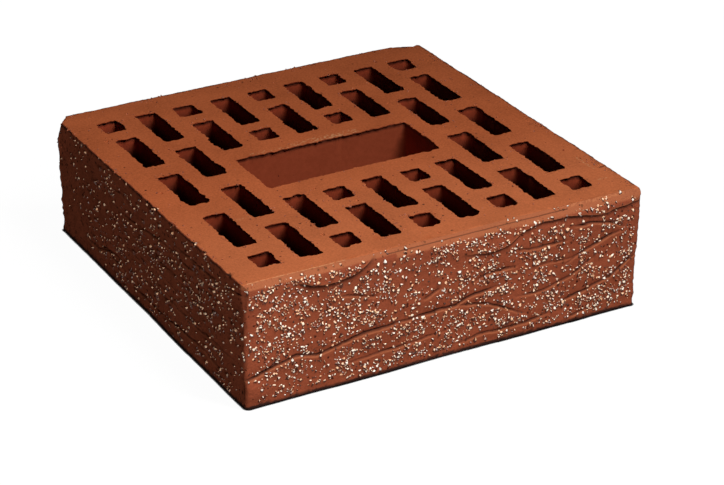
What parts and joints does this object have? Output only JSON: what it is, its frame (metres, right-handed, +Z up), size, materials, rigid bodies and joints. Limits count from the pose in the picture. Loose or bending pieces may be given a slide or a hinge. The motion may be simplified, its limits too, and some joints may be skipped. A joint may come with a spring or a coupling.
{
  "type": "perforated pier brick",
  "caption": "Square wire-cut clay pier brick with a central hand hole, staggered slot perforations and grit-faced rustic sides.",
  "frame": {"origin": "centre of the lower bed face", "axes": "+Z up through the perforations, +Y along the slots away from the front face, +X along the hand hole"},
  "size_m": [0.24, 0.24, 0.071],
  "materials": {
    "fired_clay": "dry matte fired clay, wire-cut on the bed faces and grit-faced on the sides"
  },
  "bodies": {
    "root": {"brick": "fired_clay"}
  },
  "joints": []
}
